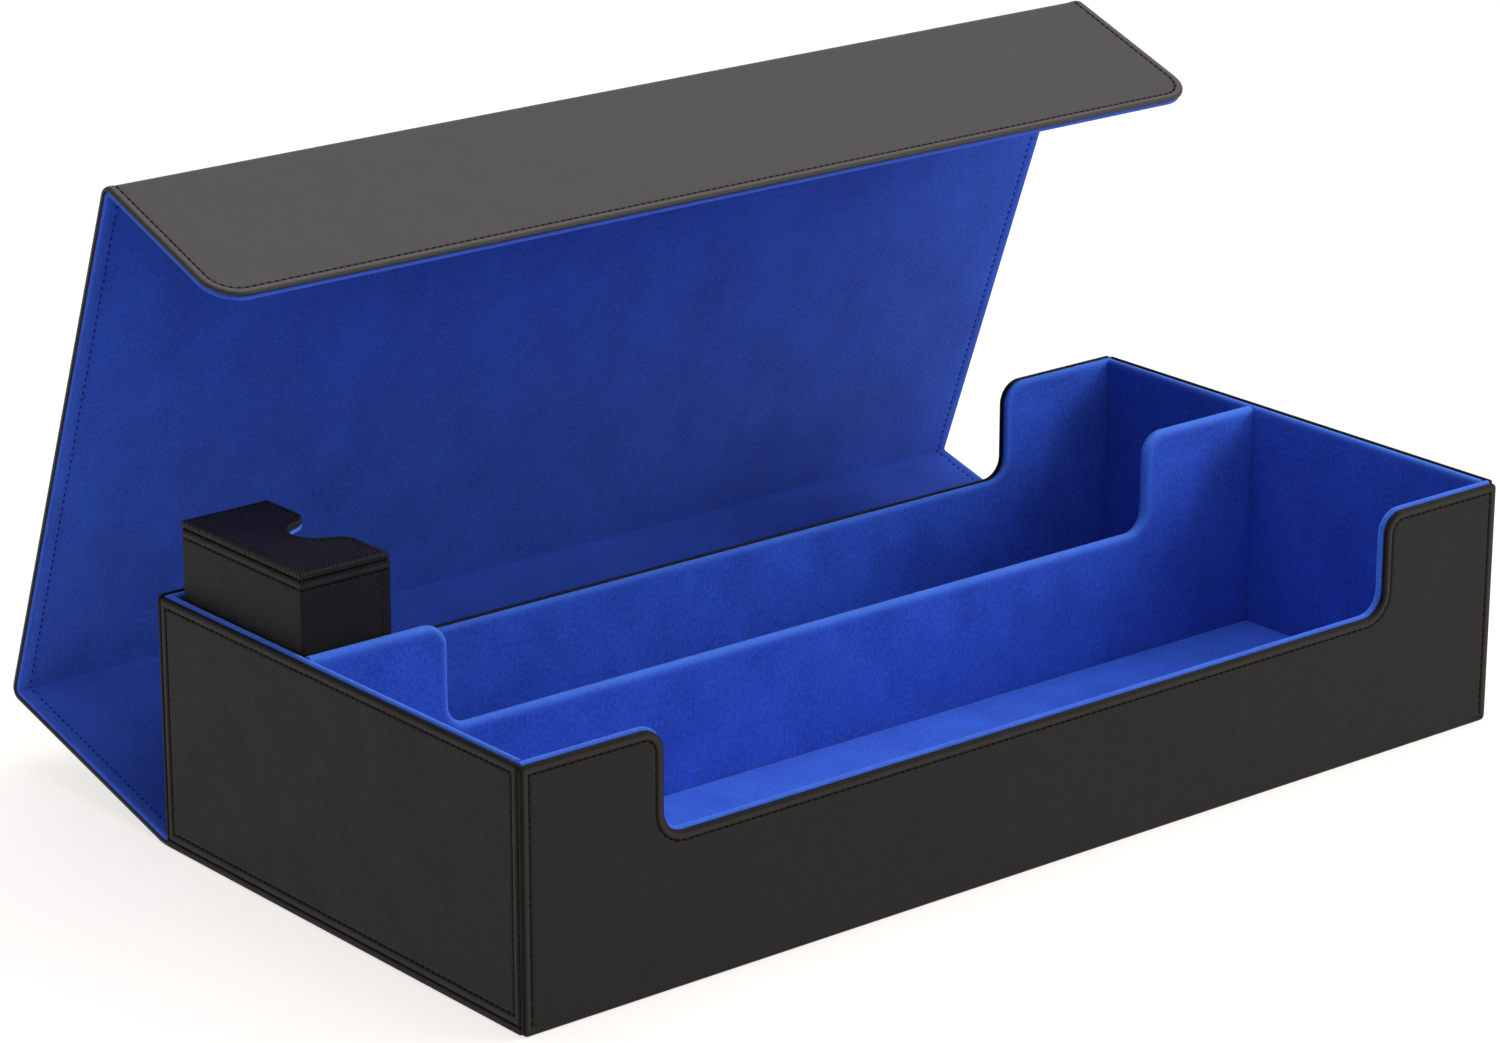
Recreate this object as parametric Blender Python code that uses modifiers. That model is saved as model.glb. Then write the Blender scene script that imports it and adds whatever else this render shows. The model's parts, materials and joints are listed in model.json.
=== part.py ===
"""A two-row card storage box with a wrap-round cover and a small removable box.

Frame: metres, +Z up. The origin is the centre of the tray's footprint on the table.
+X runs along the tray to the right, and +Y runs back, towards the cover's first hinge.
The cover stands open, and the small box stands half drawn out of the rear row.
"""

import math

import bmesh
import bpy
from mathutils import Vector

MM = 0.001
GAP = 0.3 * MM  # clearance between neighbouring pieces

# Tray
LENGTH = 490 * MM
DEPTH = 226 * MM
HEIGHT = 102 * MM
SHELL = 1.7 * MM  # leather-covered board
LINER = 3.0 * MM  # suede-wrapped board inside it
EDGE_DROP = 1.0 * MM  # how far the leather's edge stays below the suede rim
BASE = 3.0 * MM
FLOOR_BOARD = 2.0 * MM
FLOOR_PAD = 2.0 * MM
BOARD_CORNER = 2.0 * MM
BOARD_EDGE = 0.4 * MM  # rounding of the thin boards' edges
THICK_EDGE = 0.6 * MM  # rounding of the thicker boards' edges

# Notch in the front and rear walls and in the divider
NOTCH_HALF = 181.3 * MM
NOTCH_FLOOR = 60.4 * MM
NOTCH_SHOULDER = 9.8 * MM
NOTCH_FOOT = 8.8 * MM
DIVIDER = 5.0 * MM
DIVIDER_BACK_Y = 24.2 * MM
DIVIDER_NOTCH_HALF = 178.4 * MM

# Cover: three panels and their hinge lines
BACK_LENGTH = 108.7 * MM
TOP_LENGTH = 236.5 * MM
FLAP_LENGTH = 78.5 * MM
PANEL_SHELL = 1.5 * MM
PANEL_LINER = 2.2 * MM
PANEL = PANEL_SHELL + GAP + PANEL_LINER
LINER_INSET = 1.4 * MM
HINGE_ROOM = 2.8 * MM  # from a hinge line to the leather panel's edge
LINER_ROOM = 3.6 * MM  # and to its liner's, which needs more to fold inwards
HINGE_RADIUS = 1.6 * MM
FLAP_CORNER = 14.7 * MM
BASE_HINGE_Y = DEPTH / 2 + 2.4 * MM
BASE_HINGE_Z = PANEL / 2 + 0.1 * MM
BACK_ANGLE = 15.8  # degrees, back panel above the table
TOP_ANGLE = 94.5  # degrees, top panel from the back panel
FLAP_ANGLE = 90.0  # degrees, flap from the top panel

# Magnets that hold the flap to the front wall
MAGNET_RADIUS = 5.0 * MM
MAGNET = 1.2 * MM
POCKET = MAGNET + GAP + 0.1 * MM  # depth of the liner's pocket
MAGNET_X = (-165 * MM, -55 * MM, 55 * MM, 165 * MM)
MAGNET_Z = 38.0 * MM
FLAP_MAGNET_INSET = 12.0 * MM  # from the flap's free edge

# Small box
MINI_LENGTH_X = 39.2 * MM
MINI_DEPTH_Y = 78.6 * MM
MINI_HEIGHT = 93.5 * MM
MINI_LEFT = -LENGTH / 2 + 5.4 * MM
MINI_CLEAR = 0.4 * MM  # from the divider, and from the floor when pushed down
MINI_FRONT = DIVIDER_BACK_Y + MINI_CLEAR
MINI_LIFT = 31.3 * MM  # how far it is drawn out
MINI_BOARD = 2.2 * MM
MINI_TOP = 2.6 * MM
MINI_LINER = 1.3 * MM
MINI_MOUTH = 0.6 * MM  # how far the sleeve's edge stays inside the walls' edges
THUMB_HALF = 19.6 * MM
THUMB_DEPTH = 15.7 * MM
THUMB_FOOT_RADIUS = 11.0 * MM
THUMB_RIM = 1.2 * MM  # how far the sleeve shows inside the notch
CUT_PAST = 10.0 * MM  # how far a cutter runs past the piece

# Heights that follow from the layers
FLOOR_BOARD_Z = BASE + GAP
LINER_Z = FLOOR_BOARD_Z + FLOOR_BOARD + GAP
FLOOR_Z = LINER_Z + FLOOR_PAD
INNER_X = LENGTH / 2 - SHELL - GAP  # the liners' outer faces
INNER_Y = DEPTH / 2 - SHELL - GAP
ROW_X = INNER_X - LINER  # the liners' inner faces
ROW_Y = INNER_Y - LINER

LEATHER = ("leather", (0.028, 0.027, 0.026), 0.48, 0.0)
LEATHER_EDGE = ("leather_edge", (0.016, 0.015, 0.015), 0.55, 0.0)
SUEDE = ("suede", (0.016, 0.045, 0.36), 0.92, 0.0)
BOARD = ("board", (0.24, 0.20, 0.15), 0.85, 0.0)
STEEL = ("magnet_steel", (0.55, 0.55, 0.56), 0.30, 1.0)


def clear_scene():
    for thing in list(bpy.data.objects):
        bpy.data.objects.remove(thing, do_unlink=True)


def make_collection(name):
    collection = bpy.data.collections.new(name)
    bpy.context.scene.collection.children.link(collection)
    return collection


clear_scene()
PARTS = make_collection("card_deck_box")
CUTTERS = make_collection("cutters")


def own_material(name, look):
    kind, colour, roughness, metallic = look
    material = bpy.data.materials.new(f"{name}_{kind}")
    material.use_nodes = True
    shader = material.node_tree.nodes["Principled BSDF"]
    shader.inputs["Base Color"].default_value = (*colour, 1.0)
    shader.inputs["Roughness"].default_value = roughness
    shader.inputs["Metallic"].default_value = metallic
    return material


def add_piece(name, mesh, look, parent=None):
    mesh.materials.clear()
    mesh.materials.append(own_material(name, look))
    piece = bpy.data.objects.new(name, mesh)
    PARTS.objects.link(piece)
    piece.parent = parent
    return piece


def box_mesh(name, size):
    mesh = bpy.data.meshes.new(name)
    shape = bmesh.new()
    bmesh.ops.create_cube(shape, size=1.0)
    bmesh.ops.scale(shape, vec=Vector(size), verts=shape.verts)
    shape.to_mesh(mesh)
    shape.free()
    return mesh


def add_box(name, low, high, look, parent=None, bevel=0.0):
    """A board from its lowest to its highest corner, in its parent's frame."""
    low, high = Vector(low), Vector(high)
    piece = add_piece(name, box_mesh(name, high - low), look, parent)
    piece.location = (low + high) / 2
    if bevel:
        rounding = piece.modifiers.new("rounded_edges", "BEVEL")
        rounding.width = bevel
        rounding.segments = 2
    return piece


def arc(centre, radius, start, end, steps=8):
    """Points on a round stretch, with angles in degrees."""
    points = []
    for i in range(steps + 1):
        angle = math.radians(start + (end - start) * i / steps)
        x = centre[0] + radius * math.cos(angle)
        y = centre[1] + radius * math.sin(angle)
        points.append((x, y))
    return points


def outline_mesh(name, points, thickness):
    """A flat outline in the local XY plane, thickened evenly along Z, as a closed mesh."""
    curve = bpy.data.curves.new(name + "_outline", "CURVE")
    curve.dimensions = "2D"
    curve.fill_mode = "BOTH"
    curve.extrude = thickness / 2
    spline = curve.splines.new("POLY")
    spline.points.add(len(points) - 1)
    for point, (x, y) in zip(spline.points, points):
        point.co = (x, y, 0.0, 1.0)
    spline.use_cyclic_u = True
    guide = bpy.data.objects.new(name + "_outline", curve)
    PARTS.objects.link(guide)
    bpy.context.view_layer.update()
    evaluated = guide.evaluated_get(bpy.context.evaluated_depsgraph_get())
    mesh = bpy.data.meshes.new_from_object(evaluated)
    bpy.data.objects.remove(guide, do_unlink=True)
    bpy.data.curves.remove(curve)
    mesh.name = name
    shape = bmesh.new()
    shape.from_mesh(mesh)
    bmesh.ops.remove_doubles(shape, verts=shape.verts, dist=0.00001)
    bmesh.ops.recalc_face_normals(shape, faces=shape.faces)
    shape.to_mesh(mesh)
    shape.free()
    return mesh


def mirrored(right_half):
    """A closed outline from its right half, listed from the bottom up to the middle."""
    left_half = [(-x, y) for x, y in reversed(right_half)]
    return right_half + left_half


def notched_outline(half, bottom, top, notch_half, floor, shoulder, foot, corner=0.0):
    """A wall's outline, with the low stretch that lets fingers reach the cards."""
    points = [(half, bottom)]
    if corner:
        points = arc((half - corner, bottom + corner), corner, -90, 0, 4)
        points += arc((half - corner, top - corner), corner, 0, 90, 4)
    else:
        points.append((half, top))
    points += arc((notch_half + shoulder, top - shoulder), shoulder, 90, 180)
    points += arc((notch_half - foot, floor + foot), foot, 0, -90)
    return mirrored(points)


def add_wall(name, outline, y_low, y_high, look):
    """A board that stands in the XZ plane between two depths."""
    mesh = outline_mesh(name, outline, y_high - y_low)
    piece = add_piece(name, mesh, look)
    piece.rotation_euler = (math.radians(90), 0, 0)
    piece.location = (0, (y_low + y_high) / 2, 0)
    return piece


def add_cylinder(name, radius, length, look, parent=None, segments=24):
    """A round piece along local Z."""
    mesh = bpy.data.meshes.new(name)
    shape = bmesh.new()
    bmesh.ops.create_cone(
        shape, cap_ends=True, segments=segments, radius1=radius, radius2=radius, depth=length
    )
    shape.to_mesh(mesh)
    shape.free()
    mesh.shade_smooth()
    mesh.set_sharp_from_angle(angle=math.radians(40))
    return add_piece(name, mesh, look, parent)


def cut(piece, cutter):
    for home in list(cutter.users_collection):
        home.objects.unlink(cutter)
    CUTTERS.objects.link(cutter)
    cutter.hide_render = True
    cutter.display_type = "WIRE"
    pocket = piece.modifiers.new("cut_" + cutter.name, "BOOLEAN")
    pocket.operation = "DIFFERENCE"
    pocket.object = cutter


def add_tray_walls():
    """Leather-covered boards outside and suede-wrapped liners inside."""
    leather_top = HEIGHT - EDGE_DROP
    leather_notch = dict(
        notch_half=NOTCH_HALF + EDGE_DROP,
        floor=NOTCH_FLOOR - EDGE_DROP,
        shoulder=NOTCH_SHOULDER - EDGE_DROP,
        foot=NOTCH_FOOT + EDGE_DROP,
        corner=BOARD_CORNER,
    )
    front = notched_outline(LENGTH / 2, 0, leather_top, **leather_notch)
    rear = notched_outline(LENGTH / 2, BASE + GAP, leather_top, **leather_notch)
    add_wall("front_wall", front, -DEPTH / 2, -DEPTH / 2 + SHELL, LEATHER)
    add_wall("rear_wall", rear, DEPTH / 2 - SHELL, DEPTH / 2, LEATHER)
    liner = notched_outline(
        INNER_X, LINER_Z, HEIGHT, NOTCH_HALF, NOTCH_FLOOR, NOTCH_SHOULDER, NOTCH_FOOT
    )
    front_liner = add_wall("front_liner", liner, -INNER_Y, -ROW_Y, SUEDE)
    add_wall("rear_liner", liner, ROW_Y, INNER_Y, SUEDE)
    for side, name in ((-1, "left"), (1, "right")):
        shell_x = sorted((side * LENGTH / 2, side * (LENGTH / 2 - SHELL)))
        liner_x = sorted((side * INNER_X, side * ROW_X))
        add_box(
            name + "_wall",
            (shell_x[0], -INNER_Y, BASE + GAP),
            (shell_x[1], INNER_Y, leather_top),
            LEATHER,
            bevel=BOARD_EDGE,
        )
        add_box(
            name + "_liner",
            (liner_x[0], -ROW_Y + GAP, LINER_Z),
            (liner_x[1], ROW_Y - GAP, HEIGHT),
            SUEDE,
            bevel=THICK_EDGE,
        )
    return front_liner


def add_tray_floor():
    add_box(
        "base_panel",
        (-LENGTH / 2, -DEPTH / 2 + SHELL + GAP, 0),
        (LENGTH / 2, DEPTH / 2, BASE),
        LEATHER,
        bevel=THICK_EDGE,
    )
    add_box(
        "floor_board",
        (-INNER_X, -INNER_Y, FLOOR_BOARD_Z),
        (INNER_X, INNER_Y, FLOOR_BOARD_Z + FLOOR_BOARD),
        BOARD,
    )
    rows = (
        ("front_row_pad", -ROW_Y, DIVIDER_BACK_Y - DIVIDER),
        ("rear_row_pad", DIVIDER_BACK_Y, ROW_Y),
    )
    for name, y_low, y_high in rows:
        add_box(
            name,
            (-ROW_X + GAP, y_low + GAP, LINER_Z),
            (ROW_X - GAP, y_high - GAP, FLOOR_Z),
            SUEDE,
            bevel=BOARD_EDGE,
        )


def add_divider():
    outline = notched_outline(
        ROW_X - GAP,
        LINER_Z,
        HEIGHT,
        DIVIDER_NOTCH_HALF,
        NOTCH_FLOOR,
        NOTCH_SHOULDER,
        NOTCH_FOOT,
    )
    add_wall("row_divider", outline, DIVIDER_BACK_Y - DIVIDER, DIVIDER_BACK_Y, SUEDE)


def add_magnets(name, liner, place, rotation, parent=None):
    """Discs in pockets in a liner's outer side, behind the leather.

    place(x, depth) gives a point at that depth below the liner's outer side.
    """
    for number, x in enumerate(MAGNET_X, start=1):
        pocket = add_cylinder(
            f"{name}_pocket_{number}", MAGNET_RADIUS + GAP, 2 * POCKET, STEEL, parent
        )
        pocket.rotation_euler = rotation
        pocket.location = place(x, 0)
        cut(liner, pocket)
        magnet = add_cylinder(f"{name}_magnet_{number}", MAGNET_RADIUS, MAGNET, STEEL, parent)
        magnet.rotation_euler = rotation
        magnet.location = place(x, POCKET - GAP - MAGNET / 2)


def add_wall_magnets(front_liner):
    def place(x, depth):
        return (x, -INNER_Y + depth, MAGNET_Z)

    add_magnets("wall", front_liner, place, (math.radians(90), 0, 0))


def add_hinge_frame(name, parent, location, angle):
    """An empty on a hinge line: local Y runs along the panel, local Z faces inside."""
    frame = bpy.data.objects.new(name, None)
    PARTS.objects.link(frame)
    frame.parent = parent
    frame.location = location
    frame.rotation_euler = (math.radians(angle), 0, 0)
    return frame


def add_hinge(name, parent, along):
    """The round fold of leather on a hinge line."""
    hinge = add_cylinder(name, HINGE_RADIUS, LENGTH - 2 * LINER_INSET, LEATHER_EDGE, parent, 16)
    hinge.rotation_euler = (0, math.radians(90), 0)
    hinge.location = (0, along, 0)


def add_flat_panel(name, frame, length):
    half = LENGTH / 2
    liner_low = -PANEL / 2 + PANEL_SHELL + GAP
    add_box(
        name,
        (-half, HINGE_ROOM, -PANEL / 2),
        (half, length - HINGE_ROOM, -PANEL / 2 + PANEL_SHELL),
        LEATHER,
        frame,
        bevel=BOARD_EDGE,
    )
    add_box(
        name + "_liner",
        (-half + LINER_INSET, LINER_ROOM, liner_low),
        (half - LINER_INSET, length - LINER_ROOM, PANEL / 2),
        SUEDE,
        frame,
        bevel=BOARD_EDGE,
    )


def flap_outline(inset, start):
    half = LENGTH / 2 - inset
    end = FLAP_LENGTH - inset
    radius = FLAP_CORNER - inset
    right = [(half, start)]
    right += arc((half - radius, end - radius), radius, 0, 90)
    return mirrored(right)


def add_flap(frame):
    shell_mesh = outline_mesh("flap_panel", flap_outline(0, HINGE_ROOM), PANEL_SHELL)
    shell = add_piece("flap_panel", shell_mesh, LEATHER, frame)
    shell.location = (0, 0, -PANEL / 2 + PANEL_SHELL / 2)
    liner_mesh = outline_mesh(
        "flap_liner", flap_outline(LINER_INSET, LINER_ROOM), PANEL_LINER
    )
    liner = add_piece("flap_liner", liner_mesh, SUEDE, frame)
    liner.location = (0, 0, PANEL / 2 - PANEL_LINER / 2)

    def place(x, depth):
        return (x, FLAP_LENGTH - FLAP_MAGNET_INSET, PANEL / 2 - PANEL_LINER + depth)

    add_magnets("flap", liner, place, (0, 0, 0), frame)


def add_cover():
    base = add_hinge_frame("base_hinge_line", None, (0, BASE_HINGE_Y, BASE_HINGE_Z), BACK_ANGLE)
    back = add_hinge_frame("back_hinge_line", base, (0, BACK_LENGTH, 0), TOP_ANGLE)
    flap = add_hinge_frame("flap_hinge_line", back, (0, TOP_LENGTH, 0), FLAP_ANGLE)
    add_hinge("base_hinge", base, 0)
    add_flat_panel("back_panel", base, BACK_LENGTH)
    add_hinge("back_hinge", base, BACK_LENGTH)
    add_flat_panel("top_panel", back, TOP_LENGTH)
    add_hinge("flap_hinge", back, TOP_LENGTH)
    add_flap(flap)


def thumb_outline(half_y, inset):
    """The small box's top board, seen from above, with the thumb notch in its right edge.

    The notch is an ogee: a hollow foot arc in the middle and a round shoulder each side.
    An inset makes the notch shallower, as the sleeve's edge under it needs.
    """
    half_notch = THUMB_HALF + inset / 2
    depth = THUMB_DEPTH - inset
    sweep = 2 * math.degrees(math.atan2(depth, half_notch))
    both_radii = half_notch / math.sin(math.radians(sweep))
    foot = THUMB_FOOT_RADIUS
    shoulder = both_radii - foot
    right = MINI_LENGTH_X / 2
    shoulder_centre = (right - shoulder, half_notch)
    foot_centre = (right - depth + foot, 0.0)
    upper = [(-right, half_y), (right, half_y)]
    upper += arc(shoulder_centre, shoulder, 0, -sweep, 6)
    upper += arc(foot_centre, foot, 180 - sweep, 180, 5)
    lower = [(x, -y) for x, y in reversed(upper)][1:]
    return upper + lower


def add_mini_box():
    """Leather-covered boards round a suede sleeve, open on the right."""
    low = Vector((MINI_LEFT, MINI_FRONT, FLOOR_Z + MINI_CLEAR + MINI_LIFT))
    high = low + Vector((MINI_LENGTH_X, MINI_DEPTH_Y, MINI_HEIGHT))
    frame = bpy.data.objects.new("mini_box_frame", None)
    PARTS.objects.link(frame)
    frame.location = ((low.x + high.x) / 2, (low.y + high.y) / 2, low.z)
    half_x, half_y = MINI_LENGTH_X / 2, MINI_DEPTH_Y / 2
    wall_low, wall_high = MINI_BOARD + GAP, MINI_HEIGHT - MINI_TOP - GAP
    add_box(
        "mini_bottom",
        (-half_x, -half_y, 0),
        (half_x, half_y, MINI_BOARD),
        LEATHER,
        frame,
        bevel=BOARD_EDGE,
    )
    add_box(
        "mini_back",
        (-half_x, -half_y, wall_low),
        (-half_x + MINI_BOARD, half_y, wall_high),
        LEATHER,
        frame,
        bevel=BOARD_EDGE,
    )
    for side, name in ((-1, "mini_front"), (1, "mini_rear")):
        y_low, y_high = sorted((side * half_y, side * (half_y - MINI_BOARD)))
        add_box(
            name,
            (-half_x + MINI_BOARD + GAP, y_low, wall_low),
            (half_x, y_high, wall_high),
            LEATHER,
            frame,
            bevel=BOARD_EDGE,
        )
    top_mesh = outline_mesh("mini_top", thumb_outline(half_y, 0), MINI_TOP)
    top = add_piece("mini_top", top_mesh, LEATHER, frame)
    top.location = (0, 0, MINI_HEIGHT - MINI_TOP / 2)
    add_mini_liner(frame, half_x, half_y, wall_low, wall_high)


def add_mini_liner(frame, half_x, half_y, wall_low, wall_high):
    """One suede sleeve with five sides, hollowed from the right."""
    skin = MINI_BOARD + GAP
    low = Vector((-half_x + skin, -half_y + skin, wall_low))
    high = Vector((half_x - MINI_MOUTH, half_y - skin, wall_high))
    sleeve = add_box("mini_liner", low, high, SUEDE, frame)
    wall = Vector((MINI_LINER, MINI_LINER, MINI_LINER))
    past_mouth = Vector((CUT_PAST, 0, 0))
    hollow = add_box("mini_hollow", low + wall, high - wall + past_mouth, SUEDE, frame)
    cut(sleeve, hollow)
    notch_points = thumb_outline(half_y, THUMB_RIM)
    mouth = [point for point in notch_points if abs(point[1]) < THUMB_HALF + THUMB_RIM]
    mouth_right = half_x + CUT_PAST
    mouth = [(mouth_right, mouth[0][1])] + mouth + [(mouth_right, mouth[-1][1])]
    notch = add_piece("mini_notch", outline_mesh("mini_notch", mouth, CUT_PAST), SUEDE, frame)
    notch.location = (0, 0, wall_high)
    cut(sleeve, notch)


def build():
    front_liner = add_tray_walls()
    add_tray_floor()
    add_divider()
    add_wall_magnets(front_liner)
    add_cover()
    add_mini_box()


build()
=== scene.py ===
"""Looks for the card deck box: leather-covered boards, suede liners, folds and stitching.

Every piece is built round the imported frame, in metres. A flat board is a rounded outline
lofted through a profile of insets and heights. A fold is a section swept over a hinge.
"""

import json
import math
from collections import namedtuple

import bmesh
import bpy
from mathutils import Matrix, Vector


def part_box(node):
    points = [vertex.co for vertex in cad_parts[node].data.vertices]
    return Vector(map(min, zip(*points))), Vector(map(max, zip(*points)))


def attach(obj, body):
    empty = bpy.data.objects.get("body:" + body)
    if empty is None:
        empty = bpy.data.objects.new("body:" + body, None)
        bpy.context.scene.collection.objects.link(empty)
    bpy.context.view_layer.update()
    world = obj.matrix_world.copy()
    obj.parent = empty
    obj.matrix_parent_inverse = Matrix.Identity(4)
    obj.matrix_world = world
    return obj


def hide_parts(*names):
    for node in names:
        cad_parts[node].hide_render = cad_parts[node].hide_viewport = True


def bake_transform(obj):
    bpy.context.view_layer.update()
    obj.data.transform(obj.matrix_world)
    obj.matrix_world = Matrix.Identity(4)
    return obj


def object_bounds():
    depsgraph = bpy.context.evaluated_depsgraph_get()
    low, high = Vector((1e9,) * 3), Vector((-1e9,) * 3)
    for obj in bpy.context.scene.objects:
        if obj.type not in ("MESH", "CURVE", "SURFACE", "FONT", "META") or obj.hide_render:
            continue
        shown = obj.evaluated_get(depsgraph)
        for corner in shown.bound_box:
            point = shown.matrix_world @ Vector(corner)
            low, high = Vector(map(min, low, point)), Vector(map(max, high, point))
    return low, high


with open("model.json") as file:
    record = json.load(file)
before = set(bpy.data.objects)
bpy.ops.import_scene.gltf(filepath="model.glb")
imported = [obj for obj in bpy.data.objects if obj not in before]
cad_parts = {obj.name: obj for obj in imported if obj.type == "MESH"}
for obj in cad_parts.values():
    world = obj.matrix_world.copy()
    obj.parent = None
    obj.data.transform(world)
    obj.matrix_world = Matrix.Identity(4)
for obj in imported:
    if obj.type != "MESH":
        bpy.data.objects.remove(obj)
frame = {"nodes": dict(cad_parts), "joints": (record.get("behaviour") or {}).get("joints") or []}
cad_low, cad_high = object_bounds()

MM = 0.001
X, Y, Z = Vector((1, 0, 0)), Vector((0, 1, 0)), Vector((0, 0, 1))

# Outlines
STEP = 10 * MM  # about how far apart points on a straight edge are
ARC_STEP = math.radians(11)
LEAST_RADIUS = 0.25 * MM
MERGE_DISTANCE = 0.0001 * MM
SHARP_ANGLE = math.radians(50)

# Tray
RIM_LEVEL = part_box("front_liner")[1].z
NOTCH = dict(half=181.3 * MM, floor=60.4 * MM, shoulder=9.8 * MM, foot=8.8 * MM)
DIVIDER_NOTCH_HALF = 178.4 * MM
# How far each wall's leather stays below the suede's rim. Below 0, it stands above it.
EDGE_DROP = {
    "front_wall": 0.7 * MM,
    "left_wall": 0.5 * MM,
    "rear_wall": -0.2 * MM,
    "right_wall": -0.2 * MM,
}
LONG_WALL_CORNER = 2.2 * MM
END_WALL_CORNER = 1.2 * MM
BASE_CORNER = 1.5 * MM
PAD_CORNER = 1.0 * MM

# Cover
LEATHER_LOW, LEATHER_HIGH = -2.0 * MM, -0.5 * MM  # from the panels' middle, + inside
SUEDE_LOW, SUEDE_HIGH = -0.2 * MM, 2.0 * MM
SUEDE_INSET = 0.7 * MM
FLAP_LENGTH = 78.5 * MM
FLAP_CORNER = 14.7 * MM
FLAP_BEND = math.radians(90.0)
STRIP = 8 * MM  # a fold's strip runs this far along each panel
FLARE_STRIP = 10 * MM  # and this far along the top panel, where the flap flares first
FLARE_END = 1.5 * MM  # the flaring strip stops this far before the hinge line
CURVE = 3 * MM  # the bend takes up this much on each side of a hinge line
BASE_LEATHER_START = -6 * MM  # the base fold's leather starts under the tray, its suede nearer
BASE_SUEDE_START = -2 * MM
# Spans of stations over each fold
BASE_ZONE = (-2 * MM, 6 * MM)
BACK_ZONE = (-6 * MM, 6 * MM)
FLARE_ZONE = (-3.2 * MM, -1.7 * MM)
FLAP_ZONE = (-1.3 * MM, 5 * MM)

# Stitching
STITCH_INSET = 3.6 * MM
SUEDE_STITCH_INSET = 5.0 * MM
TOP_STITCH_INSET = 2.6 * MM  # on the small box's top board
PLAIN_STITCH_INSET = 1.2 * MM  # from a plain edge that a seam runs out to
STITCH_PITCH = 3.2 * MM
STITCH_LENGTH = 2.1 * MM
THREAD_RADIUS = 0.55 * MM
STITCH_SINK = 0.3 * MM  # from the face down to a stitch's middle

# Small box
MINI_CORNER = 1.6 * MM
MINI_BOTTOM_CORNER = 1.2 * MM
MINI_TOP_CORNER = 1.0 * MM
SLEEVE_CORNER = 1.0 * MM
SLEEVE = 1.3 * MM  # its suede's thickness
LEFT_CLEARANCE = 2.5 * MM  # from the top board's left edge to the suede under it
FLOOR_LIFT = 0.1 * MM  # of the suede floor over the sleeve's foot
SEAM_END = 2 * MM  # the upper rows stop this far from its corners
SEAM_FOOT = 1 * MM  # and the upright ones this far over its foot
THUMB_HALF = 19.6 * MM
THUMB_DEPTH = 15.7 * MM
THUMB_FOOT = 11.0 * MM
THUMB_RIM = 1.2 * MM

# Stage
FLOOR_HALF = 40.0
FLOOR_DROP = 0.3 * MM
LEFT_STRENGTH, RIGHT_STRENGTH = 0.44, 1.04  # of the light all round
LAMP_COLOUR = (1.0, 0.98, 0.97)

# Camera: its place and what it looks at, in the tray's lengths from the front left foot
EYE = Vector((-1.93675, -2.59453, 1.48633))
AIM = Vector((0.372, 0.19927, 0.25609))
LENS = 119.58
SENSOR_WIDTH = 36.0
ROLL = math.radians(0.10)

Corner = namedtuple("Corner", "u v radius edge", defaults=(0.0, "plain"))
# A row's rim is painted light on the edge: above 0 a painted highlight (on leather, highlight and wear),
# below 0 painted shade.
Row = namedtuple("Row", "inset height relief rim")

# How much of a profile's relief each kind of edge takes. Only sewn edges are stitched, and a
# cut edge meets another piece, so it keeps its place.
SHARE = {"sewn": 1.0, "rolled": 1.0, "plain": 0.0, "cut": 0.0}


# ---------------------------------------------------------------- outlines


def corner_arcs(corners, insets):
    """One list of points for each corner, with each edge moved in by its kind's inset."""
    lines = []
    for i, corner in enumerate(corners):
        after = corners[(i + 1) % len(corners)]
        direction = Vector((after.u - corner.u, after.v - corner.v)).normalized()
        inward = Vector((-direction.y, direction.x))
        lines.append((Vector((corner.u, corner.v)) + inward * insets[corner.edge], direction))
    arcs = []
    for i, corner in enumerate(corners):
        (start, before), (end, after) = lines[i - 1], lines[i]
        cross = before.x * after.y - before.y * after.x
        turn = math.atan2(cross, before.dot(after))
        gap = end - start
        tip = start + before * ((gap.x * after.y - gap.y * after.x) / cross)
        if not corner.radius:
            arcs.append([tip])
            continue
        inset = min(insets[corners[i - 1].edge], insets[corner.edge])
        radius = max(corner.radius - math.copysign(inset, turn), LEAST_RADIUS)
        first = tip - before * (radius * math.tan(abs(turn) / 2))
        centre = first + Vector((-before.y, before.x)) * math.copysign(radius, turn)
        steps = max(2, math.ceil(abs(turn) / ARC_STEP))
        spoke = first - centre
        arc = []
        for k in range(steps + 1):
            arc.append(centre + Matrix.Rotation(turn * k / steps, 2) @ spoke)
        arcs.append(arc)
    return arcs


def moved_in(inset):
    return {kind: 0.0 if kind == "cut" else inset for kind in SHARE}


def corner_shares(corners, arcs):
    """The share of the relief that each point of each corner takes."""
    shares = []
    for i, arc in enumerate(arcs):
        before, after = SHARE[corners[i - 1].edge], SHARE[corners[i].edge]
        if len(arc) == 1:
            shares.append([max(before, after)])
        else:
            shares.append([before + (after - before) * k / (len(arc) - 1) for k in range(len(arc))])
    return shares


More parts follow.
